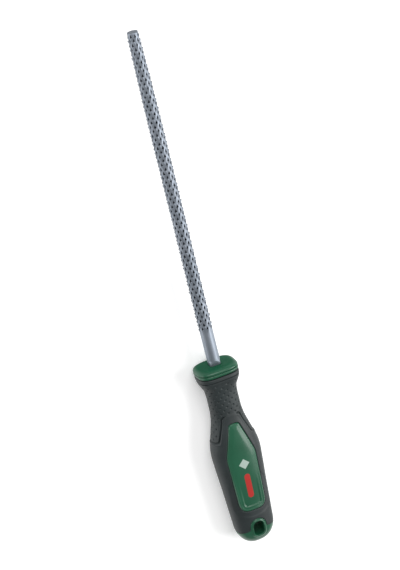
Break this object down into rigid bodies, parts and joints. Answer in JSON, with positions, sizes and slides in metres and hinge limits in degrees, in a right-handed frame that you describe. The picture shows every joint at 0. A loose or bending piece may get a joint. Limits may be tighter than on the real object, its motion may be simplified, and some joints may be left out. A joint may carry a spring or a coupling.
{
  "type": "wood rasp",
  "caption": "Round wood rasp: a staggered-tooth steel blade on a waisted two-shot plastic handle with a guard plate, inset panels and a hang slot.",
  "frame": {"origin": "on the surface the tool lies on, under the middle of its overall length and width", "axes": "+X along the blade, from the handle to the tip; +Z out of the handle's front panel; +Y across the handle"},
  "size_m": [0.3134, 0.0288, 0.0206],
  "materials": {
    "rasp_steel": "satin, as punched and hardened",
    "hard_plastic": "semi-gloss moulded polypropylene",
    "soft_grip": "matt soft-touch thermoplastic elastomer"
  },
  "bodies": {
    "root": {"rasp_blade": "rasp_steel", "handle_core": "hard_plastic", "grip_overmould": "soft_grip"}
  },
  "joints": []
}
